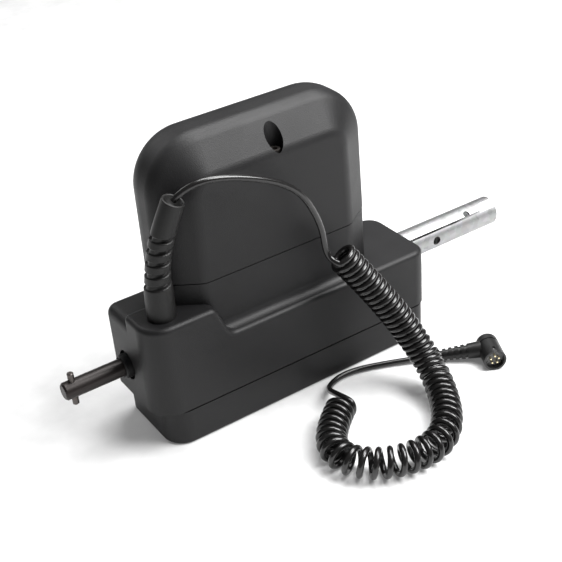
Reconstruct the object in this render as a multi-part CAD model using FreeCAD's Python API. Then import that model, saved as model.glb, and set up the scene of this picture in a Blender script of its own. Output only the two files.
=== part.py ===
import math
import os

import FreeCAD, Part

V = FreeCAD.Vector
os.makedirs("parts", exist_ok=True)

# All dimensions in millimetres.  X runs along the spindle towards the thrust tube,
# Z is up from the surface the actuator stands on, the spindle axis is y = 0.

# ---- spindle axis and outer shells
AXIS_Z = 59.3
WALL = 3.0
BODY_X0, BODY_X1 = -97.0, 156.0
BODY_Y0, BODY_Y1 = -46.0, 28.0
PARTING_Z = 32.0
LEDGE_Z = 82.0
LEFT_BLOCK_Z, LEFT_BLOCK_X1 = 101.0, -45.0
BOSS_Z, BOSS_X1, BOSS_Y1 = 108.0, -40.0, -7.0
PLINTH_INSET = 0.3
SEAM_Z = 126.0
BASE_INSET = 1.0
BASE_LEFT_INSET = 8.0
SEAM_DEPTH, SEAM_WIDTH, BASE_SEAM_WIDTH = 1.2, 0.9, 1.9
SLOPE_RUN, SLOPE_TOP_R, SLOPE_FOOT_R = 10.0, 7.0, 10.0
WALL_FOOT_R = 7.0

CASE_RIB_X = (-54.0, -6.0)
POST_R, BASE_SCREW_R, BASE_HEAD_R = 4.5, 1.8, 3.6
BASE_HEAD_Z, BASE_HEAD = 2.0, 3.0
POST_XY = ((-72.0, -34.0), (-76.0, 18.0), (30.0, -39.5), (30.0, 21.5), (142.0, -34.0), (142.0, 18.0))

# ---- hood over the motor
HOOD_X0, HOOD_X1 = -68.0, 116.0
HOOD_Y0, HOOD_Y1 = -36.0, 28.0
HOOD_Z1 = 233.5
HOOD_DRAFT = 1.5
HOOD_CORNER_R = 42.0
HOOD_EDGE_R = 29.0
BEVEL_RUN, BEVEL_DEPTH, BEVEL_R = 27.0, 19.0, 13.0
HOOD_SCREW_XY = (30.5, -29.0)
RECESS_R = 6.6
RECESS_FLOOR_Z = 202.0
PILLAR_R = 4.0
M5_R = 2.5

# ---- spindle, gear train and motor
STUB_R = 7.0
STUB_X0 = -150.0
SEAT_R, SEAT_X0, SEAT_X1 = 5.0, -60.0, 0.0
THREAD_R, THREAD_X1 = 6.0, 140.0
CRANK_PIN_X, CRANK_PIN_R, CRANK_PIN_LENGTH = -142.0, 2.5, 28.0
GEAR_X, MOTOR_Y = -30.0, -15.0
WHEEL_R, WHEEL_WIDTH, WHEEL_TEETH, TOOTH_DEPTH = 10.3, 12.0, 20, 1.8
WORM_R, WORM_Z0, WORM_Z1 = 4.4, 48.0, 71.0
ROTOR_R = 2.5
BEARING_R, BEARING_WIDTH = 15.0, 9.0
BEARING_X = (-56.0, -13.0)
RUNNING_GAP = 0.05
FREE_GAP = 0.3
CASE_Y0, CASE_Y1 = -26.5, 20.0
CASE_Z0, CASE_Z1 = 36.0, 92.0
CASE_TOP = 4.0
MOTOR_R, MOTOR_LENGTH, MOTOR_CAP = 15.5, 78.0, 12.0
MOTOR_SCREW_XY = ((GEAR_X - 9.0, MOTOR_Y), (GEAR_X + 9.0, MOTOR_Y))
BOARD_Y = 14.0
RAIL_X0, RAIL_X1, RAIL_Y, RAIL_Z1 = 6.0, 138.0, -24.0, 68.0

# ---- thrust tube and nut
TUBE_R, TUBE_BORE_R = 12.5, 10.5
TUBE_X0, TUBE_X1 = 24.0, 263.0
TUBE_HOLE_R = 3.8
TUBE_HOLE_X = 194.5
END_PIN_HOLE_R, END_PIN_HOLE_X = 3.2, 232.0
KEYWAY_ANGLE, KEYWAY_WIDTH, KEYWAY_X0 = 138.0, 1.8, 40.0
SOCKET_R, SOCKET_X0 = 10.8, 205.0
JAW_X0, JAW_WIDTH, JAW_ANGLE = 253.0, 8.0, 116.0
END_PIN_ANGLE = 127.0
NUT_X0, NUT_FLANGE_R, NUT_FLANGE, NUT_SPIGOT = 12.0, 14.5, 12.0, 26.0
NUT_PIN_X, NUT_PIN_R = 34.0, 2.0
GUIDE_R, GUIDE_WIDTH = 17.0, 14.0
COLLAR_R, COLLAR_X0, COLLAR_X1 = 9.5, -102.0, -86.0
END_HOLE_R = 12.0

# ---- cord
CORD_D = 4.8
COIL_D = 24.4
UPPER_ROUTE = [(-59.7, -40.5, 202.0), (-51.0, -46.5, 214.0), (-17.0, -52.0, 210.5), (29.0, -56.0, 189.0),
               (47.5, -57.0, 152.0), (49.0, -58.0, 124.0), (53.5, -58.8, 113.5)]
COIL_ROUTE = [(60.4, -61.0, 120.0), (84.5, -73.0, 84.0), (109.0, -93.0, 32.0), (105.5, -122.0, 12.6),
              (83.5, -156.5, 12.4), (61.5, -172.0, 12.4), (33.5, -172.0, 12.4), (8.5, -160.0, 12.4),
              (-5.5, -137.5, 12.4), (5.0, -112.0, 12.4), (31.5, -93.0, 12.4)]
LOWER_ROUTE = [(29.3, -94.5, 20.4), (33.0, -84.0, 18.0), (41.5, -57.5, 2.5), (64.0, -49.5, 2.5),
               (98.0, -60.0, 2.5), (134.0, -81.0, 4.7)]

# ---- gland and plug
GLAND_FOOT = (-75.0, -27.0)
GLAND_FOOT_R, GLAND_FOOT_Z0, GLAND_FOOT_Z1 = 11.0, 96.0, 112.0
GLAND_KNEE, GLAND_KNEE_R = (-72.5, -30.0, 152.0), 10.0
GLAND_TOP_R = 8.4
GLAND_GROOVES, GLAND_GROOVE_PITCH, GLAND_GROOVE_WIDTH, GLAND_GROOVE_DEPTH = 4, 7.5, 2.6, 1.6
RELIEF_START, RELIEF_END = (134.0, -81.0, 4.7), (164.5, -102.0, 9.2)
RELIEF_R0, RELIEF_R1 = 4.4, 7.0
HEAD_BACK, HEAD_FRONT = (175.0, -95.0, 9.3), (162.5, -121.0, 9.3)
HEAD_R = 9.2
PIN_R, PIN_LENGTH, PIN_CIRCLE_R = 0.7, 5.0, 3.4


def save(name, shape):
    shape.exportStep("parts/" + name + ".step")


def box(x0, x1, y0, y1, z0, z1):
    return Part.makeBox(x1 - x0, y1 - y0, z1 - z0, V(x0, y0, z0))


def cylinder(r, start, end):
    axis = V(*end) - V(*start)
    return Part.makeCylinder(r, axis.Length, V(*start), axis)


def cone(r0, r1, start, end):
    axis = V(*end) - V(*start)
    return Part.makeCone(r0, r1, axis.Length, V(*start), axis)


def x_rod(r, x0, x1, y=0.0, z=AXIS_Z):
    return cylinder(r, (x0, y, z), (x1, y, z))


def x_ring(r_out, r_in, x0, x1):
    return x_rod(r_out, x0, x1).cut(x_rod(r_in, x0 - 1, x1 + 1))


def z_rod(r, x, y, z0, z1):
    return Part.makeCylinder(r, z1 - z0, V(x, y, z0))


def corner_arc(before, corner, after, radius):
    """The arc that rounds one corner, as its start, its middle and its end."""
    back = (before - corner).normalize()
    ahead = (after - corner).normalize()
    half = back.getAngle(ahead) / 2
    reach = radius / math.tan(half)
    start = corner + back * reach
    end = corner + ahead * reach
    bisector = (back + ahead).normalize()
    middle = corner + bisector * (radius / math.sin(half) - radius)
    return start, middle, end


def outline(corners):
    """A closed wire from (point, radius) corners; radius 0 leaves a corner sharp."""
    count = len(corners)
    arcs = []
    for i, (point, radius) in enumerate(corners):
        before = V(*corners[i - 1][0])
        after = V(*corners[(i + 1) % count][0])
        if radius:
            arcs.append(corner_arc(before, V(*point), after, radius))
        else:
            arcs.append((V(*point), None, V(*point)))
    edges = []
    for i, (start, middle, end) in enumerate(arcs):
        if middle:
            edges.append(Part.Arc(start, middle, end).toShape())
        edges.append(Part.LineSegment(end, arcs[(i + 1) % count][0]).toShape())
    return Part.Wire(edges)


def plan_block(x0, x1, y0, y1, z0, z1, radii):
    """A block rounded in plan; radii run front-left, front-right, back-right, back-left."""
    points = [(x0, y0, z0), (x1, y0, z0), (x1, y1, z0), (x0, y1, z0)]
    face = Part.Face(outline(list(zip(points, radii))))
    return face.extrude(V(0, 0, z1 - z0))


def round_rim(solid, z, radius):
    """Round every edge that lies flat at height z."""
    rim = [e for e in solid.Edges if abs(e.BoundBox.ZMin - z) < 1e-6 and e.BoundBox.ZLength < 1e-6]
    return solid.makeFillet(radius, rim)


def hood_form(inset, z0):
    """The hood's outer form, with its broad bevel round the front; or its cavity when inset is the wall."""
    x0, x1 = HOOD_X0 + inset, HOOD_X1 - inset
    y0, y1 = HOOD_Y0 + inset, HOOD_Y1 - inset
    top = HOOD_Z1 - inset
    corner = HOOD_CORNER_R - inset
    points = [((x0, y0, z0), 0), ((x1, y0, z0), 0),
              ((x1 - HOOD_DRAFT, y0, top), corner), ((x0 + HOOD_DRAFT, y0, top), corner)]
    form = Part.Face(outline(points)).extrude(V(0, y1 - y0, 0))
    form = form.makeFillet(HOOD_EDGE_R - inset, rim_edges(form, y1, z0))
    depth, run = BEVEL_DEPTH - 0.48 * inset, BEVEL_RUN - 0.68 * inset
    form = form.makeChamfer(depth, run, rim_edges(form, y0, z0))
    bevel = rim_edges(form, y0, z0) + rim_edges(form, y0 + depth, z0)
    return form.makeFillet(BEVEL_R - inset, bevel)


def rim_edges(form, y, z0):
    """The edges that run round a hood form in the plane of one y, apart from those at its mouth."""
    return [e for e in form.Edges if e.BoundBox.YLength < 1e-6 and abs(e.BoundBox.YMin - y) < 1e-3
            and e.BoundBox.ZMax > z0 + 1]


def hood_foot(inset, z0, z1):
    """An upright block with the outline that the hood has at its mouth."""
    mouth = [f for f in hood_form(inset, SEAM_Z).Faces if f.BoundBox.ZMax < SEAM_Z + 1e-6][0]
    block = mouth.extrude(V(0, 0, z1 - z0))
    block.translate(V(0, 0, z0 - SEAM_Z))
    return block


def hood():
    x, y = HOOD_SCREW_XY
    shell = hood_form(0.0, SEAM_Z).cut(hood_form(WALL, SEAM_Z))
    boss = z_rod(RECESS_R + 2.5, x, y, RECESS_FLOOR_Z - 4, HOOD_Z1)
    shell = shell.fuse(boss.common(hood_form(0.0, SEAM_Z)))
    shell = shell.cut(z_rod(RECESS_R, x, y, RECESS_FLOOR_Z, HOOD_Z1 + 1))
    shell = shell.cut(z_rod(M5_R + FREE_GAP, x, y, RECESS_FLOOR_Z - 5, RECESS_FLOOR_Z + 1))
    save("hood", shell.removeSplitter())


def hood_fastening():
    x, y = HOOD_SCREW_XY
    head = z_rod(4.2, x, y, RECESS_FLOOR_Z, RECESS_FLOOR_Z + 5)
    head = head.cut(z_rod(2.2, x, y, RECESS_FLOOR_Z + 2, RECESS_FLOOR_Z + 6))
    shank = z_rod(M5_R, x, y, RECESS_FLOOR_Z - 24, RECESS_FLOOR_Z)
    save("hood_screw", head.fuse(shank).removeSplitter())


def hood_pillar():
    """The post on the plinth floor that the hood's screw bites into."""
    x, y = HOOD_SCREW_XY
    floor_z = LEDGE_Z - WALL / 2
    post = z_rod(PILLAR_R, x, y, floor_z - 2, RECESS_FLOOR_Z - 4 - FREE_GAP)
    foot = box(x - 10, x + 10, HOOD_Y0 - 4, y + 14, floor_z - 5, floor_z)
    post = post.fuse(foot)
    return post.cut(z_rod(M5_R, x, y, RECESS_FLOOR_Z - 26, RECESS_FLOOR_Z))


def front_strip():
    """The boss, its sloped right end and the ledge, cut from one long front profile."""
    x0, x1 = BODY_X0, BODY_X1
    foot = BOSS_X1 + SLOPE_RUN
    y = BODY_Y0
    points = [((x0, y, PARTING_Z), 0), ((x1, y, PARTING_Z), 0), ((x1, y, LEDGE_Z), 0),
              ((foot, y, LEDGE_Z), SLOPE_FOOT_R), ((BOSS_X1, y, BOSS_Z), SLOPE_TOP_R), ((x0, y, BOSS_Z), 0)]
    strip = Part.Face(outline(points)).extrude(V(0, BOSS_Y1 - y, 0))
    return strip.common(plan_block(x0, x1, y, BOSS_Y1, PARTING_Z, BOSS_Z, (20, 12, 2, 5)))


def soften_front(strip):
    """Round the strip's top front edge, from the boss down its slope and along the ledge."""
    edges = [e for e in strip.Edges if e.BoundBox.ZMin > LEDGE_Z - 1 and not vertical(e)
             and (e.BoundBox.YMax < BODY_Y0 + 0.01 or e.BoundBox.XMax < BODY_X0 + 20.1)]
    return strip.makeFillet(4.0, edges)


def vertical(edge):
    return edge.BoundBox.XLength < 1e-6 and edge.BoundBox.YLength < 1e-6


def wall_foot():
    """The hollow curve where the plinth's front wall meets the ledge."""
    x0, x1 = BOSS_X1 - 4, HOOD_X1 - BEVEL_RUN - 5
    y1, y0 = HOOD_Y0 + 0.8, HOOD_Y0 + PLINTH_INSET - WALL_FOOT_R
    bar = box(x0, x1, y0, y1, LEDGE_Z - 2, LEDGE_Z + WALL_FOOT_R)
    return bar.cut(cylinder(WALL_FOOT_R, (x0 - 1, y0, LEDGE_Z + WALL_FOOT_R), (x1 + 1, y0, LEDGE_Z + WALL_FOOT_R)))


def seam_ring(x0, x1, y0, y1, radii):
    """The strip of the base's outer skin that is cut back so that its seam shows as a groove."""
    d = SEAM_DEPTH
    z0, z1 = PARTING_Z - BASE_SEAM_WIDTH, PARTING_Z
    ring = plan_block(x0 - 1, x1 + 1, y0 - 1, y1 + 1, z0, z1, [r + 1 for r in radii])
    inner = plan_block(x0 + d, x1 - d, y0 + d, y1 - d, z0 - 1, z1 + 1, [r - d for r in radii])
    return ring.cut(inner)


def upper_outer():
    y0, y1 = BODY_Y0, BODY_Y1
    main = plan_block(BODY_X0, BODY_X1, y0, y1, PARTING_Z, LEDGE_Z, (20, 12, 14, 9))
    main = round_rim(main, LEDGE_Z, 4.0)
    left = plan_block(BODY_X0, LEFT_BLOCK_X1, y0 + 6, y1, PARTING_Z, LEFT_BLOCK_Z, (16, 4, 4, 9))
    left = round_rim(left, LEFT_BLOCK_Z, 8.0)
    plinth = hood_foot(PLINTH_INSET + SEAM_DEPTH, PARTING_Z, SEAM_Z)
    plinth = plinth.fuse(hood_foot(PLINTH_INSET, PARTING_Z, SEAM_Z - SEAM_WIDTH))
    return main.fuse([left, soften_front(front_strip()), plinth, wall_foot()])


def upper_cavity():
    w = WALL
    z0 = PARTING_Z - 1
    main = plan_block(BODY_X0 + w, BODY_X1 - w, BODY_Y0 + w, BODY_Y1 - w, z0, LEDGE_Z - w, (17, 9, 11, 6))
    left = plan_block(BODY_X0 + w, LEFT_BLOCK_X1 - w, BODY_Y0 + w + 6, BODY_Y1 - w,
                      z0, LEFT_BLOCK_Z - w, (13, 2, 2, 6))
    return main.fuse([left, hood_foot(PLINTH_INSET + w, z0, SEAM_Z + 1)])


def left_post_tops():
    """The two posts under the tall left block reach up to its higher ceiling."""
    tops = [z_rod(POST_R, x, y, LEDGE_Z - 2, LEFT_BLOCK_Z - 1) for x, y in POST_XY if x < HOOD_X0]
    return Part.makeCompound(tops)


def screw_posts(r, z0, z1):
    return [z_rod(r, x, y, z0, z1) for x, y in POST_XY]


def upper_housing():
    shell = upper_outer().cut(upper_cavity())
    shell = shell.fuse(screw_posts(POST_R, PARTING_Z, LEDGE_Z - 1)).fuse(left_post_tops())
    shell = shell.fuse(x_rod(GUIDE_R + WALL, BODY_X1 - GUIDE_WIDTH, BODY_X1 - 1))
    shell = shell.fuse(x_rod(END_HOLE_R + WALL, BODY_X0 + 1, COLLAR_X1))
    shell = shell.cut(x_rod(END_HOLE_R, BODY_X0 - 1, BODY_X0 + WALL))
    shell = shell.cut(x_rod(COLLAR_R, BODY_X0, COLLAR_X1 + 1))
    shell = shell.cut(x_rod(GUIDE_R, BODY_X1 - GUIDE_WIDTH - 1, BODY_X1 - 2))
    shell = shell.cut(x_rod(TUBE_R + 1, BODY_X1 - 3, BODY_X1 + 1))
    shell = shell.fuse(hood_pillar())
    x, y = GLAND_FOOT
    shell = shell.cut(z_rod(GLAND_FOOT_R, x, y, GLAND_FOOT_Z0, BOSS_Z + 1))
    for hole in screw_posts(BASE_SCREW_R, PARTING_Z - 1, PARTING_Z + 16):
        shell = shell.cut(hole)
    save("upper_housing", shell)


def base_cover():
    d = BASE_INSET
    x0, x1 = BODY_X0 + BASE_LEFT_INSET, BODY_X1 - d
    y0, y1 = BODY_Y0 + d, BODY_Y1 - d
    w = WALL
    radii = (18, 11, 12, 9)
    shell = plan_block(x0, x1, y0, y1, 0, PARTING_Z, radii)
    shell = round_rim(shell, 0, 3.0)
    shell = shell.cut(seam_ring(x0, x1, y0, y1, radii))
    shell = shell.cut(plan_block(x0 + w, x1 - w, y0 + w, y1 - w, w, PARTING_Z + 1, [r - w for r in radii]))
    shell = shell.fuse(screw_posts(POST_R, 1, PARTING_Z))
    for x in CASE_RIB_X:
        shell = shell.fuse(box(x - 2, x + 2, CASE_Y0, CASE_Y1, 1, CASE_Z0))
    for hole in screw_posts(BASE_SCREW_R + FREE_GAP, -1, PARTING_Z + 1):
        shell = shell.cut(hole)
    for bore in screw_posts(BASE_HEAD_R + 0.5, -1, BASE_HEAD_Z + BASE_HEAD):
        shell = shell.cut(bore)
    save("base_cover", shell.removeSplitter())


def base_screws():
    screws = []
    for x, y in POST_XY:
        seat = BASE_HEAD_Z + BASE_HEAD
        head = z_rod(BASE_HEAD_R, x, y, BASE_HEAD_Z, seat)
        head = head.cut(z_rod(1.6, x, y, BASE_HEAD_Z - 1, BASE_HEAD_Z + 1.6))
        screws.append(head.fuse(z_rod(BASE_SCREW_R, x, y, seat, PARTING_Z + 14)).removeSplitter())
    save("base_screws", Part.makeCompound(screws))


def gear_case():
    """The cast bracket that carries both spindle bearings and the motor."""
    x0, x1 = BEARING_X[0] - 2, BEARING_X[1] + BEARING_WIDTH + 2
    block = box(x0, x1, CASE_Y0, CASE_Y1, CASE_Z0, CASE_Z1)
    inner0, inner1 = BEARING_X[0] + BEARING_WIDTH, BEARING_X[1]
    block = block.cut(box(inner0, inner1, CASE_Y0 - 1, CASE_Y1 + 1, CASE_Z0 + 4, CASE_Z1 - CASE_TOP))
    for x in BEARING_X:
        block = block.cut(x_rod(BEARING_R, x, x + BEARING_WIDTH))
    block = block.cut(x_rod(SEAT_R + 2.5, x0 - 1, x1 + 1))
    block = block.cut(z_rod(ROTOR_R + 2, GEAR_X, MOTOR_Y, CASE_Z1 - CASE_TOP - 1, CASE_Z1 + 1))
    for x, y in MOTOR_SCREW_XY:
        block = block.cut(z_rod(1.5, x, y, CASE_Z1 - CASE_TOP - 1, CASE_Z1 + 1))
    save("gear_case", block)


def bearings():
    for name, x in zip(("rear_bearing", "front_bearing"), BEARING_X):
        ring = x_ring(BEARING_R, SEAT_R + RUNNING_GAP, x, x + BEARING_WIDTH)
        for side in (x - 1, x + BEARING_WIDTH - 0.8):
            ring = ring.cut(x_ring(12.6, 7.6, side, side + 1.8))
        save(name, ring)


def motor():
    top = CASE_Z1 + MOTOR_LENGTH
    can = z_rod(MOTOR_R, GEAR_X, MOTOR_Y, CASE_Z1, top)
    inner = z_rod(MOTOR_R - 2, GEAR_X, MOTOR_Y, CASE_Z1 + 3, top + 1)
    can = can.cut(inner).cut(z_rod(ROTOR_R + 1, GEAR_X, MOTOR_Y, CASE_Z1 - 1, CASE_Z1 + 4))
    for x, y in MOTOR_SCREW_XY:
        can = can.cut(z_rod(1.5, x, y, CASE_Z1 - 1, CASE_Z1 + 4))
    save("motor_can", can)
    cap = z_rod(MOTOR_R, GEAR_X, MOTOR_Y, top, top + MOTOR_CAP)
    cap = cap.makeFillet(2.5, [e for e in cap.Edges if e.BoundBox.ZMin > top + MOTOR_CAP - 0.1])
    cap = cap.cut(z_rod(ROTOR_R + FREE_GAP, GEAR_X, MOTOR_Y, top - 1, top + 8))
    save("motor_end_cap", cap)
    screws = []
    for x, y in MOTOR_SCREW_XY:
        head_z = CASE_Z1 - CASE_TOP
        head = z_rod(2.6, x, y, head_z - 2, head_z)
        screws.append(head.fuse(z_rod(1.5, x, y, head_z, CASE_Z1 + 2.6)).removeSplitter())
    save("motor_screws", Part.makeCompound(screws))


def motor_rotor():
    """Motor shaft with its armature above and the worm below, turning as one piece."""
    top = CASE_Z1 + MOTOR_LENGTH
    rotor = z_rod(ROTOR_R, GEAR_X, MOTOR_Y, WORM_Z0 - 4, top + 7)
    rotor = rotor.fuse(z_rod(WORM_R, GEAR_X, MOTOR_Y, WORM_Z0, WORM_Z1))
    armature = z_rod(MOTOR_R - 4, GEAR_X, MOTOR_Y, CASE_Z1 + 14, top - 16)
    for i in range(8):
        slot = box(MOTOR_R - 7, MOTOR_R, -0.9, 0.9, CASE_Z1 + 13, top - 15)
        slot.translate(V(GEAR_X, MOTOR_Y, 0))
        slot.rotate(V(GEAR_X, MOTOR_Y, 0), V(0, 0, 1), i * 45)
        armature = armature.cut(slot)
    save("motor_rotor", rotor.fuse(armature).removeSplitter())


def worm_wheel():
    x0, x1 = GEAR_X - WHEEL_WIDTH / 2, GEAR_X + WHEEL_WIDTH / 2
    wheel = x_ring(WHEEL_R, SEAT_R, x0, x1)
    for i in range(WHEEL_TEETH):
        gap = box(x0 - 1, x1 + 1, WHEEL_R - TOOTH_DEPTH, WHEEL_R + 1, -0.75, 0.75)
        gap.translate(V(0, 0, AXIS_Z))
        gap.rotate(V(0, 0, AXIS_Z), V(1, 0, 0), i * 360 / WHEEL_TEETH)
        wheel = wheel.cut(gap)
    save("worm_wheel", wheel)


def lead_screw():
    stub = x_rod(STUB_R, STUB_X0, SEAT_X0)
    stub = stub.makeChamfer(1.4, [e for e in stub.Edges if e.BoundBox.XMax < STUB_X0 + 0.1])
    screw = stub.fuse([x_rod(SEAT_R, SEAT_X0, SEAT_X1), x_rod(THREAD_R, SEAT_X1, THREAD_X1)])
    screw = screw.cut(crank_pin_rod())
    save("lead_screw", screw.removeSplitter())


def crank_pin_rod():
    half = CRANK_PIN_LENGTH / 2
    return z_rod(CRANK_PIN_R, CRANK_PIN_X, 0, AXIS_Z - half, AXIS_Z + half)


def crank_pin():
    pin = crank_pin_rod()
    save("crank_pin", pin.makeChamfer(0.6, [e for e in pin.Edges if e.BoundBox.ZLength < 1e-6]))


def thrust_tube():
    tube = x_ring(TUBE_R, TUBE_BORE_R, TUBE_X0, TUBE_X1).cut(x_rod(SOCKET_R, SOCKET_X0, TUBE_X1 + 1))
    keyway = box(KEYWAY_X0, TUBE_X1 + 1, TUBE_BORE_R - 3, TUBE_R + 1, -KEYWAY_WIDTH / 2, KEYWAY_WIDTH / 2)
    jaw = box(JAW_X0, TUBE_X1 + 1, TUBE_BORE_R - 6, TUBE_R + 1, -JAW_WIDTH / 2, JAW_WIDTH / 2)
    jaw = jaw.fuse(cylinder(JAW_WIDTH / 2, (JAW_X0, TUBE_BORE_R - 6, 0), (JAW_X0, TUBE_R + 1, 0)))
    for cutter, angle in ((keyway, KEYWAY_ANGLE), (jaw, JAW_ANGLE)):
        cutter.translate(V(0, 0, AXIS_Z))
        cutter.rotate(V(0, 0, AXIS_Z), V(1, 0, 0), angle)
        tube = tube.cut(cutter)
    tube = tube.cut(cylinder(TUBE_HOLE_R, (TUBE_HOLE_X, -20, AXIS_Z), (TUBE_HOLE_X, 20, AXIS_Z)))
    pin_hole = cylinder(END_PIN_HOLE_R, (END_PIN_HOLE_X, -20, AXIS_Z), (END_PIN_HOLE_X, 20, AXIS_Z))
    pin_hole.rotate(V(0, 0, AXIS_Z), V(1, 0, 0), END_PIN_ANGLE)
    tube = tube.cut(pin_hole).cut(nut_pin_rod())
    save("thrust_tube", tube)


def nut_pin_rod():
    return cylinder(NUT_PIN_R, (NUT_PIN_X, -TUBE_R - 0.2, AXIS_Z), (NUT_PIN_X, -THREAD_R - 1.5, AXIS_Z))


def drive_nut():
    flange = x_rod(NUT_FLANGE_R, NUT_X0, NUT_X0 + NUT_FLANGE)
    nut = flange.fuse(x_rod(TUBE_BORE_R, NUT_X0, TUBE_X0 + NUT_SPIGOT))
    nut = nut.cut(x_rod(THREAD_R + FREE_GAP, NUT_X0 - 1, TUBE_X0 + NUT_SPIGOT + 1))
    save("drive_nut", nut.cut(nut_pin_rod()).removeSplitter())
    save("nut_pin", nut_pin_rod())


def end_bushes():
    collar = x_ring(COLLAR_R, STUB_R + FREE_GAP, COLLAR_X0, COLLAR_X1)
    collar = collar.makeChamfer(0.8, [e for e in collar.Edges if e.BoundBox.XMax < COLLAR_X0 + 0.1])
    save("shaft_collar", collar)
    x1 = BODY_X1 - 3
    x0 = BODY_X1 - GUIDE_WIDTH
    guide = x_ring(GUIDE_R, TUBE_R + FREE_GAP, x0, x1 - 4)
    half = KEYWAY_WIDTH / 2 - FREE_GAP
    key = box(x0, x1 - 4, TUBE_BORE_R + FREE_GAP, TUBE_R + 1, -half, half)
    key.translate(V(0, 0, AXIS_Z))
    key.rotate(V(0, 0, AXIS_Z), V(1, 0, 0), KEYWAY_ANGLE)
    save("tube_guide_bush", guide.fuse(key).removeSplitter())
    save("wiper_ring", x_ring(GUIDE_R, TUBE_R + FREE_GAP, x1 - 4, x1))


def circuit_board():
    board = box(24, 98, BOARD_Y, BOARD_Y + 1.6, 96, 190)
    save("circuit_board", board)
    relays = [box(x, x + 16, BOARD_Y - 16, BOARD_Y, 104, 118) for x in (30, 52, 74)]
    save("motor_relays", Part.makeCompound(relays))
    save("smoothing_capacitor", cylinder(9, (84, BOARD_Y, 166), (84, BOARD_Y - 26, 166)))
    block = box(30, 62, BOARD_Y - 10, BOARD_Y, 172, 184)
    for i in range(4):
        block = block.cut(z_rod(1.6, 34 + 8 * i, BOARD_Y - 5, 178, 185))
    save("terminal_block", block)
    posts = [box(x, x + 6, BOARD_Y + 1.6, HOOD_Y1 - PLINTH_INSET - WALL, z, z + 6) for x in (26, 78) for z in (98, 112)]
    save("board_posts", Part.makeCompound(posts))


def limit_switches():
    rail = box(RAIL_X0, RAIL_X1, RAIL_Y, RAIL_Y + 2, WALL, RAIL_Z1)
    save("switch_rail", rail)
    switches = []
    face = RAIL_Y + 2
    for x in (RAIL_X0 + 2, RAIL_X1 - 24):
        case = box(x, x + 20, face, face + 5, AXIS_Z - 6, AXIS_Z + 6)
        lever = box(x + 2, x + 18, face + 5, face + 6.2, AXIS_Z - 2, AXIS_Z + 2)
        switches.append(case.fuse(lever).removeSplitter())
    save("limit_switches", Part.makeCompound(switches))


def route_wire(points):
    """Straight runs joined by tangent arcs; also the tightest radius on the way."""
    corners = [V(*p) for p in points]
    arcs = []
    radii = []
    for before, corner, after in zip(corners, corners[1:], corners[2:]):
        run = min((corner - before).Length, (after - corner).Length)
        half_turn = (corner - before).getAngle(after - corner) / 2
        radius = 0.45 * run / math.tan(half_turn)
        radii.append(radius)
        arcs.append(corner_arc(before, corner, after, radius))
    edges = []
    start = corners[0]
    for arc_start, middle, arc_end in arcs:
        edges.append(Part.LineSegment(start, arc_start).toShape())
        edges.append(Part.Arc(arc_start, middle, arc_end).toShape())
        start = arc_end
    edges.append(Part.LineSegment(start, corners[-1]).toShape())
    return Part.Wire(edges), min(radii)


def cord_tube(name, points, diameter):
    wire, tightest = route_wire(points)
    direction = V(*points[1]) - V(*points[0])
    section = Part.Wire(Part.makeCircle(diameter / 2, V(*points[0]), direction))
    tube = wire.makePipeShell([section], True, False)
    ideal = math.pi * diameter ** 2 / 4 * wire.Length
    print(name, "length", round(wire.Length, 1), "tightest radius", round(tightest, 1),
          "volume ratio", round(tube.Volume / ideal, 4), "valid", tube.isValid())
    save(name, tube)


def cord_gland():
    """Bend relief: a foot in the housing, an upright sleeve and a grooved sleeve that leans."""
    x, y = GLAND_FOOT
    foot = z_rod(GLAND_FOOT_R, x, y, GLAND_FOOT_Z0, GLAND_FOOT_Z1)
    lower = cone(GLAND_FOOT_R - 0.5, GLAND_KNEE_R, (x, y, GLAND_FOOT_Z1 - 2), GLAND_KNEE)
    start = V(*GLAND_KNEE)
    knee = Part.makeSphere(GLAND_KNEE_R + 0.3, start)
    end = V(*UPPER_ROUTE[0])
    length = (end - start).Length
    sleeve = Part.makeCone(GLAND_KNEE_R, GLAND_TOP_R, length, V(0, 0, 0))
    for i in range(GLAND_GROOVES):
        z = 3 + i * GLAND_GROOVE_PITCH
        groove = Part.makeCylinder(GLAND_FOOT_R + 1, GLAND_GROOVE_WIDTH, V(0, 0, z))
        core = GLAND_KNEE_R + (GLAND_TOP_R - GLAND_KNEE_R) * z / length - GLAND_GROOVE_DEPTH
        sleeve = sleeve.cut(groove.cut(Part.makeCylinder(core, GLAND_GROOVE_WIDTH, V(0, 0, z))))
    sleeve = sleeve.cut(Part.makeCylinder(GLAND_TOP_R - 2, 2.0, V(0, 0, length - 2.0)))
    sleeve = sleeve.fuse(Part.makeCylinder(CORD_D / 2, 2.0, V(0, 0, length - 2.0)))
    sleeve.Placement = FreeCAD.Placement(start, FreeCAD.Rotation(V(0, 0, 1), end - start))
    save("cord_gland", foot.fuse([lower, knee, sleeve]).removeSplitter())


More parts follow.
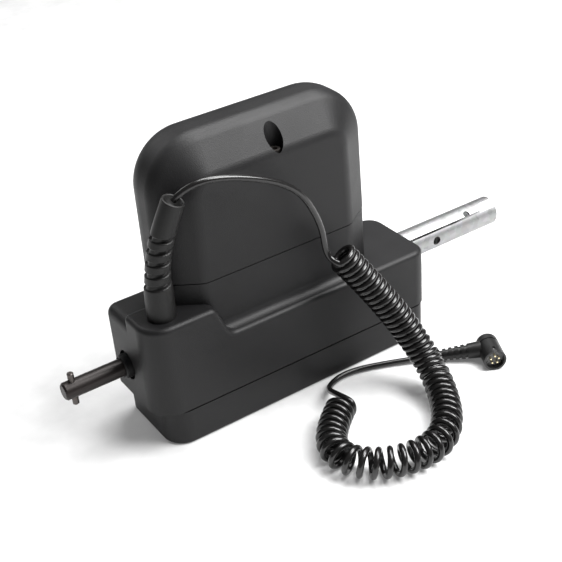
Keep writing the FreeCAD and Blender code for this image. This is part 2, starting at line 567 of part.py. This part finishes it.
def plug():
    start, end = V(*RELIEF_START), V(*RELIEF_END)
    along = (end - start).normalize()
    relief = cone(RELIEF_R0, RELIEF_R1, RELIEF_START, RELIEF_END)
    length = (end - start).Length
    for i in range(5):
        at = start + along * (4 + 5 * i)
        core = RELIEF_R0 + (RELIEF_R1 - RELIEF_R0) * (4 + 5 * i) / length - 1.1
        groove = Part.makeCylinder(RELIEF_R1 + 1, 2.2, at, along)
        relief = relief.cut(groove.cut(Part.makeCylinder(core, 2.2, at, along)))
    back, front = V(*HEAD_BACK), V(*HEAD_FRONT)
    axis = (front - back).normalize()
    head = cylinder(HEAD_R, HEAD_BACK, HEAD_FRONT)
    head = head.makeFillet(5.0, [head.Edges[i] for i in rim_at(head, back)])
    ring_at = back + axis * 9
    ring = Part.makeCylinder(HEAD_R + 1, 1.4, ring_at, axis)
    head = head.cut(ring.cut(Part.makeCylinder(HEAD_R - 0.8, 1.4, ring_at, axis)))
    save("plug_relief", relief.cut(head))
    mouth = Part.makeCylinder(HEAD_R - 1.6, 8, front - axis * 7, axis)
    side = axis.cross(V(0, 0, 1))
    key = Part.makeCylinder(1.8, 8, front - axis * 7 + V(0, 0, HEAD_R - 1.6), axis)
    save("plug_body", head.cut(mouth).cut(key))
    face = Part.makeCylinder(HEAD_R - 1.6, 2.5, front - axis * 7, axis)
    save("plug_face", face)
    pins = []
    for angle in (0, 72, 144, 216, 288):
        offset = V(0, 0, math.cos(math.radians(angle))) + side * math.sin(math.radians(angle))
        base = front - axis * 4.5 + offset * PIN_CIRCLE_R
        pins.append(Part.makeCylinder(PIN_R, PIN_LENGTH - 1.5, base, axis))
    save("plug_pins", Part.makeCompound(pins))


def rim_at(solid, centre):
    """Indices of the circular edges centred on a point."""
    return [i for i, e in enumerate(solid.Edges)
            if hasattr(e.Curve, "Center") and (e.Curve.Center - centre).Length < 0.01]


hood()
hood_fastening()
upper_housing()
base_cover()
base_screws()
gear_case()
bearings()
motor()
motor_rotor()
worm_wheel()
lead_screw()
crank_pin()
thrust_tube()
drive_nut()
end_bushes()
circuit_board()
limit_switches()
cord_gland()
cord_tube("upper_cord", UPPER_ROUTE, CORD_D)
cord_tube("curly_cord", COIL_ROUTE, COIL_D)
cord_tube("lower_cord", LOWER_ROUTE, CORD_D)
plug()
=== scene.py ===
import math

import bmesh
import bpy
from mathutils import Matrix, Vector


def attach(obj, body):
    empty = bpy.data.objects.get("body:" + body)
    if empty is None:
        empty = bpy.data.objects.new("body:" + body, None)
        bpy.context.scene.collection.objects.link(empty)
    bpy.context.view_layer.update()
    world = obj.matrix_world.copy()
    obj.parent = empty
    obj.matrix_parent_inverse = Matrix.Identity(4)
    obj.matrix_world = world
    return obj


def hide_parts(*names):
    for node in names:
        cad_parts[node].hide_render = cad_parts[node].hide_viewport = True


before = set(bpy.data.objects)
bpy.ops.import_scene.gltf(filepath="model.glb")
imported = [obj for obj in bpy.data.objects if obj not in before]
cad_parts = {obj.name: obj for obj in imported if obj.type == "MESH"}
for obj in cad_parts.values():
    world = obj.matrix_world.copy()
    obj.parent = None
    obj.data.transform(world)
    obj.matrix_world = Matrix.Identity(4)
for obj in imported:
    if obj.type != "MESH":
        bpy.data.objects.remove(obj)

# Metres; X along the spindle towards the thrust tube, Z up, cord outlet on the -Y side.
CORD_D = 0.0048
COIL_R = 0.0122
UPPER_ROUTE = [(-0.0597, -0.0405, 0.2020), (-0.0510, -0.0465, 0.2140), (-0.0170, -0.0520, 0.2105),
               (0.0290, -0.0560, 0.1890), (0.0475, -0.0570, 0.1520), (0.0490, -0.0580, 0.1240),
               (0.0535, -0.0588, 0.1135)]
COIL_ROUTE = [(0.0604, -0.0610, 0.1200), (0.0845, -0.0730, 0.0840), (0.1090, -0.0930, 0.0320),
              (0.1055, -0.1220, 0.0126), (0.0835, -0.1565, 0.0124), (0.0615, -0.1720, 0.0124),
              (0.0335, -0.1720, 0.0124), (0.0085, -0.1600, 0.0124), (-0.0055, -0.1375, 0.0124),
              (0.0050, -0.1120, 0.0124), (0.0315, -0.0930, 0.0124)]
LOWER_ROUTE = [(0.0293, -0.0945, 0.0204), (0.0330, -0.0840, 0.0180), (0.0415, -0.0575, 0.0025),
               (0.0640, -0.0495, 0.0025), (0.0980, -0.0600, 0.0025), (0.1340, -0.0810, 0.0047)]
COIL_TURNS = 51
COIL_START = math.radians(20)
# The share of the turns used up, and the share of the coil's length that they cover.
COIL_PACE = [(0.0, 0.0), (0.44, 0.36), (0.60, 0.52), (0.84, 0.84), (1.0, 1.0)]
POINTS_PER_TURN = 14

# The bend relief: its centreline, and its radius and slots by distance from its foot.
GLAND_LINE = [(-0.0750, -0.0270, 0.0980), (-0.0750, -0.0270, 0.1260), (-0.0735, -0.0290, 0.1500),
              (-0.0685, -0.0335, 0.1760), (-0.0597, -0.0405, 0.2020)]
GLAND_PROFILE = [(0.000, 0.0109), (0.014, 0.0109), (0.028, 0.0107), (0.036, 0.0104), (0.041, 0.0096),
                 (0.060, 0.0092), (0.084, 0.0087), (0.108, 0.0083)]
GLAND_SLOTS, GLAND_SLOT_START, GLAND_SLOT_PITCH = 5, 0.0405, 0.0097
GLAND_SLOT_HALF, GLAND_SLOT_EDGE, GLAND_SLOT_DEPTH = 0.0021, 0.0006, 0.0030
GLAND_SLOT_RISE = 0.8
# The mouth: how far inside the sleeve's outer surface each ring lies, and how deep below its end.
GLAND_MOUTH = [(0.0008, -0.0005), (0.0019, 0.0), (0.0024, 0.0055)]
GLAND_RINGS = 300
GLAND_STEPS = 72
GLAND_ANGLES = [2 * math.pi * m / GLAND_STEPS - math.pi for m in range(GLAND_STEPS)]
GLAND_FRONT = Vector((0.35, -1.0, 0.0))

CAMERA_PLACE = (-0.3505, -0.6548, 0.5572)
CAMERA_AZIMUTH, CAMERA_ELEVATION, CAMERA_ROLL = -31.03, 32.23, -5.14
CAMERA_LENS, CAMERA_SENSOR = 72.6, 36.0
WHITE = (1, 1, 1, 1)
FLOOR_SIZE, FLOOR_GREY, FLOOR_GLOW, WORLD_GLOW = 12, 0.66, 0.12, 0.16
# Name, place, target, diameter and power of each lamp.
LAMPS = [("key", (0.75, -0.65, 1.25), (0, 0, 0.08), 1.0, 42),
         ("top", (0.45, 0.25, 1.4), (0, 0, 0.08), 0.9, 22),
         ("rim", (-0.3, 1.0, 0.9), (0, 0, 0.1), 0.7, 3)]

CLOUD_SCALE = 28.0
BUMP_DISTANCE = 0.0004
SPANGLE_SCALE, SPANGLE_SHARE, ZINC_SATURATION = 220.0, 0.12, 0.15

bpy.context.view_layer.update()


# ---- camera, floor and light
def add_camera():
    camera = bpy.data.objects.new("Camera", bpy.data.cameras.new("Camera"))
    bpy.context.scene.collection.objects.link(camera)
    camera.data.lens = CAMERA_LENS
    camera.data.sensor_width = CAMERA_SENSOR
    azimuth = math.radians(CAMERA_AZIMUTH)
    elevation = math.radians(CAMERA_ELEVATION)
    roll = math.radians(CAMERA_ROLL)
    back = Vector((math.sin(azimuth) * math.cos(elevation),
                   -math.cos(azimuth) * math.cos(elevation), math.sin(elevation)))
    level = Vector((math.cos(azimuth), math.sin(azimuth), 0))
    upright = back.cross(level)
    right = math.cos(roll) * level + math.sin(roll) * upright
    up = math.cos(roll) * upright - math.sin(roll) * level
    turn = Matrix((right, up, back)).transposed().to_4x4()
    camera.matrix_world = Matrix.Translation(CAMERA_PLACE) @ turn
    bpy.context.scene.camera = camera


def add_lamp(name, place, target, size, power):
    data = bpy.data.lights.new(name, "AREA")
    data.shape = "DISK"
    data.size = size
    data.energy = power
    lamp = bpy.data.objects.new(name, data)
    bpy.context.scene.collection.objects.link(lamp)
    lamp.location = place
    aim = Vector(target) - Vector(place)
    lamp.rotation_euler = aim.to_track_quat("-Z", "Y").to_euler()


def add_stage():
    bpy.ops.mesh.primitive_plane_add(size=FLOOR_SIZE, location=(0, 0, 0))
    floor = bpy.context.object
    floor.name = "studio_floor"
    floor.data.materials.append(surface("floor_paper", (FLOOR_GREY,) * 3, 0.95, bump=0.02, scale=60))
    shader = floor.data.materials[0].node_tree.nodes["Principled BSDF"]
    shader.inputs["Emission Color"].default_value = WHITE
    shader.inputs["Emission Strength"].default_value = FLOOR_GLOW
    world = bpy.data.worlds.new("studio")
    world.use_nodes = True
    sky = world.node_tree.nodes["Background"]
    sky.inputs["Color"].default_value = WHITE
    sky.inputs["Strength"].default_value = WORLD_GLOW
    bpy.context.scene.world = world
    bpy.context.scene.view_settings.view_transform = "Standard"
    for name, place, target, size, power in LAMPS:
        add_lamp(name, place, target, size, power)


# ---- materials
def add_noise(nodes, scale, detail):
    noise = nodes.new("ShaderNodeTexNoise")
    noise.inputs["Scale"].default_value = scale
    noise.inputs["Detail"].default_value = detail
    return noise


def vary_color(nodes, links, noise, color, mottle):
    """Base colour from darker to lighter by the noise."""
    ramp = nodes.new("ShaderNodeMix")
    ramp.data_type = "RGBA"
    dark = [c * (1 - mottle) for c in color]
    light = [min(1.0, c * (1 + mottle)) for c in color]
    ramp.inputs["A"].default_value = (*dark, 1)
    ramp.inputs["B"].default_value = (*light, 1)
    links.new(noise.outputs["Fac"], ramp.inputs["Factor"])
    links.new(ramp.outputs["Result"], nodes["Principled BSDF"].inputs["Base Color"])


def vary_roughness(nodes, links, noise, roughness, spread):
    rough = nodes.new("ShaderNodeMapRange")
    rough.inputs["To Min"].default_value = max(0.02, roughness - spread)
    rough.inputs["To Max"].default_value = min(1.0, roughness + spread)
    links.new(noise.outputs["Fac"], rough.inputs["Value"])
    links.new(rough.outputs["Result"], nodes["Principled BSDF"].inputs["Roughness"])


def add_bump(nodes, links, noise, strength):
    relief = nodes.new("ShaderNodeBump")
    relief.inputs["Strength"].default_value = strength
    relief.inputs["Distance"].default_value = BUMP_DISTANCE
    links.new(noise.outputs["Fac"], relief.inputs["Height"])
    links.new(relief.outputs["Normal"], nodes["Principled BSDF"].inputs["Normal"])


def surface(name, color, roughness, metallic=0.0, bump=0.1, scale=900.0, mottle=0.25, spread=0.12,
            stretch=(1, 1, 1), coat=0.0, specular=0.5):
    """A shader whose colour, roughness and bump all vary with procedural noise."""
    material = bpy.data.materials.new(name)
    material.use_nodes = True
    nodes = material.node_tree.nodes
    links = material.node_tree.links
    shader = nodes["Principled BSDF"]
    shader.inputs["Metallic"].default_value = metallic
    shader.inputs["Coat Weight"].default_value = coat
    shader.inputs["Specular IOR Level"].default_value = specular
    place = nodes.new("ShaderNodeTexCoord")
    mapping = nodes.new("ShaderNodeMapping")
    mapping.inputs["Scale"].default_value = stretch
    links.new(place.outputs["Object"], mapping.inputs["Vector"])
    grain = add_noise(nodes, scale, 4.0)
    cloud = add_noise(nodes, CLOUD_SCALE, 5.0)
    for noise in (grain, cloud):
        links.new(mapping.outputs["Vector"], noise.inputs["Vector"])
    vary_color(nodes, links, cloud, color, mottle)
    vary_roughness(nodes, links, cloud, roughness, spread)
    add_bump(nodes, links, grain, bump)
    return material


def rubber():
    return surface("gland_rubber", (0.0065, 0.0063, 0.0062), 0.42, bump=0.2, scale=700, specular=0.3)


def galvanised():
    """Zinc over steel: bright metal with soft spangles and fine drawn lines along X."""
    material = surface("galvanised", (0.29, 0.302, 0.32), 0.48, 1.0, bump=0.12, scale=160,
                       mottle=0.08, spread=0.10, stretch=(0.25, 1, 1))
    nodes = material.node_tree.nodes
    links = material.node_tree.links
    spangle = nodes.new("ShaderNodeTexVoronoi")
    spangle.inputs["Scale"].default_value = SPANGLE_SCALE
    links.new(nodes["Texture Coordinate"].outputs["Object"], spangle.inputs["Vector"])
    blend = nodes.new("ShaderNodeMix")
    blend.data_type = "RGBA"
    blend.inputs["Factor"].default_value = SPANGLE_SHARE
    links.new(nodes["Mix"].outputs["Result"], blend.inputs["A"])
    links.new(spangle.outputs["Color"], blend.inputs["B"])
    grey = nodes.new("ShaderNodeHueSaturation")
    grey.inputs["Saturation"].default_value = ZINC_SATURATION
    links.new(blend.outputs["Result"], grey.inputs["Color"])
    links.new(grey.outputs["Color"], nodes["Principled BSDF"].inputs["Base Color"])
    return material


def dress_nodes():
    shell = surface("moulded_shell", (0.0088, 0.0086, 0.0091), 0.48, bump=0.35, scale=1500, mottle=0.4,
                    spread=0.10, specular=0.30)
    gland = rubber()
    add_gland(gland)
    steel = surface("plated_steel", (0.60, 0.61, 0.63), 0.32, 1.0, bump=0.05, scale=300)
    # Dark, low-sheen steel for the pins; the hood screw gets it too, as painted shade in its recess in
    # place of a bright screw head.
    dark_steel_and_recess_shade = surface("dark_steel_recess_shade", (0.10, 0.09, 0.085), 0.42, 1.0, bump=0.2, scale=400)
    nylon = surface("nylon", (0.82, 0.81, 0.76), 0.45, bump=0.1, scale=300, mottle=0.05)
    dark = surface("dark_plastic", (0.05, 0.05, 0.055), 0.45, bump=0.15, scale=500)
    blue = surface("relay_plastic", (0.04, 0.10, 0.30), 0.4, bump=0.1, scale=400)
    dress = {
        "hood": shell, "upper_housing": shell, "base_cover": shell, "shaft_collar": shell,
        "board_posts": shell, "cord_gland": gland, "plug_relief": gland, "wiper_ring": gland,
        # The hood screw's dark steel is painted shade for the recess it sits in.
        "hood_screw": dark_steel_and_recess_shade, "base_screws": steel, "motor_screws": steel, "rear_bearing": steel,
        "front_bearing": steel, "motor_rotor": steel, "crank_pin": dark_steel_and_recess_shade, "nut_pin": dark_steel_and_recess_shade,
        "drive_nut": nylon, "tube_guide_bush": nylon, "switch_rail": nylon,
        "limit_switches": dark, "motor_end_cap": dark, "motor_relays": blue, "terminal_block": blue,
        "thrust_tube": galvanised(),
        "lead_screw": surface("black_steel", (0.016, 0.012, 0.011), 0.40, 0.45, bump=0.25, scale=350,
                              mottle=0.45, stretch=(0.4, 1, 1)),
        "gear_case": surface("cast_alloy", (0.55, 0.56, 0.57), 0.55, 0.9, bump=0.5, scale=500),
        "motor_can": surface("motor_steel", (0.45, 0.45, 0.47), 0.35, 1.0, bump=0.05, scale=250),
        "worm_wheel": surface("bronze", (0.55, 0.38, 0.18), 0.35, 1.0, bump=0.1, scale=300),
        "circuit_board": surface("board_mask", (0.02, 0.16, 0.07), 0.3, bump=0.1, scale=350),
        "smoothing_capacitor": surface("sleeve", (0.05, 0.05, 0.09), 0.3, bump=0.05, scale=300),
        "plug_body": surface("plug_plastic", (0.011, 0.011, 0.011), 0.36, bump=0.12, scale=600),
        "plug_face": surface("plug_insert", (0.16, 0.16, 0.16), 0.5, bump=0.15, scale=500),
        "plug_pins": surface("contact_metal", (0.80, 0.70, 0.45), 0.25, 1.0, bump=0.05, scale=400),
    }
    for name, material in dress.items():
        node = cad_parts[name]
        for slot in node.material_slots:
            slot.material = material
        if not node.material_slots:
            node.data.materials.append(material)


# ---- measuring along tables and paths
def lookup(table, at):
    """Straight-line interpolation in a list of (position, value) pairs."""
    for (a, low), (b, high) in zip(table, table[1:]):
        if at <= b:
            return low + (high - low) * max(0.0, at - a) / (b - a)
    return table[-1][1]


def running_lengths(path):
    """How far along a path each of its points lies."""
    lengths = [0.0]
    for a, b in zip(path, path[1:]):
        lengths.append(lengths[-1] + (b - a).length)
    return lengths


# ---- the bend relief
def slot_depth(along, angle):
    """A helical slot, deepest towards the front and the back of the sleeve."""
    turn = (along - GLAND_SLOT_START) / GLAND_SLOT_PITCH - (angle / (2 * math.pi)) * GLAND_SLOT_RISE
    if not -0.4 < turn < GLAND_SLOTS - 0.6:
        return 0.0
    off = abs(turn - round(turn)) * GLAND_SLOT_PITCH
    edge = min(1.0, max(0.0, (GLAND_SLOT_HALF - off) / GLAND_SLOT_EDGE))
    reach = min(1.0, max(0.0, 1.15 - abs(math.sin(angle)) ** 4))
    return GLAND_SLOT_DEPTH * edge * reach


def gland_rings():
    """The sleeve's rings from foot to mouth, as centre, front, across and a radius for each angle."""
    path = smooth_path(GLAND_LINE)
    travel = running_lengths(path)
    rings = []
    i = 0
    for k in range(GLAND_RINGS + 1):
        along = travel[-1] * k / GLAND_RINGS
        while i < len(path) - 2 and travel[i + 1] < along:
            i += 1
        centre = path[i].lerp(path[i + 1], (along - travel[i]) / (travel[i + 1] - travel[i]))
        ahead = (path[i + 1] - path[i]).normalized()
        front = GLAND_FRONT - ahead * GLAND_FRONT.dot(ahead)
        front.normalize()
        radii = [lookup(GLAND_PROFILE, along) - slot_depth(along, a) for a in GLAND_ANGLES]
        rings.append((centre, front, ahead.cross(front), radii))
    centre, front, across, radii = rings[-1]
    ahead = front.cross(across)
    for inset, depth in GLAND_MOUTH:
        rings.append((centre - ahead * depth, front, across, [r - inset for r in radii]))
    return rings


def add_gland(material):
    """The rubber sleeve that carries the cord out of the housing, slotted so that it can bend."""
    mesh = bmesh.new()
    loops = []
    for centre, front, across, radii in gland_rings():
        loops.append([mesh.verts.new(centre + (front * math.cos(a) + across * math.sin(a)) * r)
                      for a, r in zip(GLAND_ANGLES, radii)])
    for low, high in zip(loops, loops[1:]):
        for m in range(len(low)):
            mesh.faces.new((low[m - 1], low[m], high[m], high[m - 1]))
    mesh.faces.new(reversed(loops[0]))
    mesh.faces.new(loops[-1])
    data = bpy.data.meshes.new("bend_relief")
    mesh.to_mesh(data)
    mesh.free()
    data.shade_smooth()
    sleeve = bpy.data.objects.new("bend_relief", data)
    bpy.context.scene.collection.objects.link(sleeve)
    data.materials.append(material)
    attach(sleeve, "housing")
    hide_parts("cord_gland")


# ---- the cord
def spline_object(name, points, radius=0.0):
    data = bpy.data.curves.new(name, "CURVE")
    data.dimensions = "3D"
    data.bevel_depth = radius
    data.bevel_resolution = 6
    data.resolution_u = 6
    spline = data.splines.new("NURBS")
    spline.points.add(len(points) - 1)
    for point, place in zip(spline.points, points):
        point.co = (*place, 1.0)
    spline.order_u = 3
    spline.use_endpoint_u = True
    obj = bpy.data.objects.new(name, data)
    bpy.context.scene.collection.objects.link(obj)
    return obj


def smooth_path(points):
    """Points along a route's own NURBS spline, as Blender evaluates it."""
    obj = spline_object("route", points)
    obj.data.resolution_u = 24
    bpy.context.view_layer.update()
    mesh = bpy.data.meshes.new_from_object(obj.evaluated_get(bpy.context.evaluated_depsgraph_get()))
    path = [v.co.copy() for v in mesh.vertices]
    bpy.data.objects.remove(obj)
    return path


def cross_frames(path):
    """Two directions square to the path at each point, carried along it without twisting."""
    tangent = (path[1] - path[0]).normalized()
    side = tangent.cross(Vector((0, 0, 1))).normalized()
    frames = []
    for i in range(len(path)):
        ahead = path[min(i + 1, len(path) - 1)] - path[max(i - 1, 0)]
        ahead.normalize()
        side = (side - ahead * side.dot(ahead)).normalized()
        frames.append((side.copy(), ahead.cross(side)))
    return frames


def coil_points():
    """A helix round the coil's route, tight on the hanging stretch and looser on the floor."""
    path = smooth_path(COIL_ROUTE)
    lengths = running_lengths(path)
    frames = cross_frames(path)
    count = COIL_TURNS * POINTS_PER_TURN
    radius = COIL_R - CORD_D / 2
    points = []
    segment = 0
    for k in range(count + 1):
        turn = k / count
        target = lookup(COIL_PACE, turn) * lengths[-1]
        while segment < len(path) - 2 and lengths[segment + 1] < target:
            segment += 1
        step = (target - lengths[segment]) / (lengths[segment + 1] - lengths[segment])
        centre = path[segment].lerp(path[segment + 1], step)
        across, over = frames[segment]
        angle = COIL_START - COIL_TURNS * turn * 2 * math.pi
        points.append(centre + (across * math.cos(angle) + over * math.sin(angle)) * radius)
    return points


def add_cord():
    points = [Vector(p) for p in UPPER_ROUTE[:-1]]
    points += coil_points()
    points += [Vector(p) for p in LOWER_ROUTE[1:]]
    cord = spline_object("curly_cord_line", points, CORD_D / 2)
    cord.data.materials.append(surface("cord_jacket", (0.006, 0.0056, 0.0055), 0.25, bump=0.05,
                                       scale=400, mottle=0.2, spread=0.05, coat=0.15))
    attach(cord, "housing")
    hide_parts("upper_cord", "curly_cord", "lower_cord")


add_camera()
add_cord()
add_stage()
dress_nodes()
